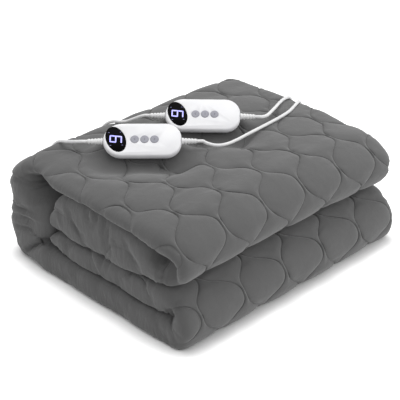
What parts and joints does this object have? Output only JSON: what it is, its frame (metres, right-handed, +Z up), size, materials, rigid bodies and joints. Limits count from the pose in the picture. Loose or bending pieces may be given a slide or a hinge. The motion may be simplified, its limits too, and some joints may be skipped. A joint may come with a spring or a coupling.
{
  "type": "heated mattress pad",
  "caption": "Quilted heated mattress pad folded into a thick bundle, with hand controllers resting on top and their leads coiled behind.",
  "frame": {"origin": "middle of the folded pad's footprint, on the surface that it rests on", "axes": "+X along the folds, +Y towards the side that the outer wrap closes, +Z up"},
  "size_m": [0.5916, 0.5383, 0.2421],
  "materials": {
    "quilt": "brushed quilted microfibre, matt",
    "case": "moulded, satin",
    "window": "black acrylic window, polished",
    "button": "moulded, matt",
    "cord": "flexible, matt",
    "blade": "rolled"
  },
  "bodies": {
    "root": {"quilted_pad": "quilt", "controller_a_base": "case", "controller_a_cover": "case", "controller_a_display": "window", "controller_a_relief_mains": "cord", "controller_a_relief_pad": "cord", "controller_b_base": "case", "controller_b_cover": "case", "controller_b_display": "window", "controller_b_relief_mains": "cord", "controller_b_relief_pad": "cord", "mains_lead_a": "cord", "mains_lead_a_coil": "cord", "mains_lead_a_tail": "cord", "mains_lead_a_plug": "cord", "mains_lead_a_blade_1": "blade", "mains_lead_a_blade_2": "blade", "mains_lead_b": "cord", "mains_lead_b_coil": "cord", "mains_lead_b_tail": "cord", "mains_lead_b_plug": "cord", "mains_lead_b_blade_1": "blade", "mains_lead_b_blade_2": "blade", "pad_lead_a": "cord", "pad_lead_a_coil": "cord", "pad_lead_a_tail": "cord", "pad_lead_a_connector": "cord", "pad_lead_b": "cord", "pad_lead_b_coil": "cord", "pad_lead_b_tail": "cord", "pad_lead_b_connector": "cord"},
    "controller_a_button_1": {"controller_a_button_1": "button"},
    "controller_a_button_2": {"controller_a_button_2": "button"},
    "controller_a_button_3": {"controller_a_button_3": "button"},
    "controller_b_button_1": {"controller_b_button_1": "button"},
    "controller_b_button_2": {"controller_b_button_2": "button"},
    "controller_b_button_3": {"controller_b_button_3": "button"}
  },
  "joints": [
    {"name": "controller_a_press_1", "type": "slide", "parent": "root", "child": "controller_a_button_1", "axis": [0.4083, 0.4228, -0.809], "range_m": [0, 0.0008], "stiffness_N_per_m": 400},
    {"name": "controller_a_press_2", "type": "slide", "parent": "root", "child": "controller_a_button_2", "axis": [0.4083, 0.4228, -0.809], "range_m": [0, 0.0008], "stiffness_N_per_m": 400},
    {"name": "controller_a_press_3", "type": "slide", "parent": "root", "child": "controller_a_button_3", "axis": [0.4083, 0.4228, -0.809], "range_m": [0, 0.0008], "stiffness_N_per_m": 400},
    {"name": "controller_b_press_1", "type": "slide", "parent": "root", "child": "controller_b_button_1", "axis": [0.4228, 0.4083, -0.809], "range_m": [0, 0.0008], "stiffness_N_per_m": 400},
    {"name": "controller_b_press_2", "type": "slide", "parent": "root", "child": "controller_b_button_2", "axis": [0.4228, 0.4083, -0.809], "range_m": [0, 0.0008], "stiffness_N_per_m": 400},
    {"name": "controller_b_press_3", "type": "slide", "parent": "root", "child": "controller_b_button_3", "axis": [0.4228, 0.4083, -0.809], "range_m": [0, 0.0008], "stiffness_N_per_m": 400}
  ]
}
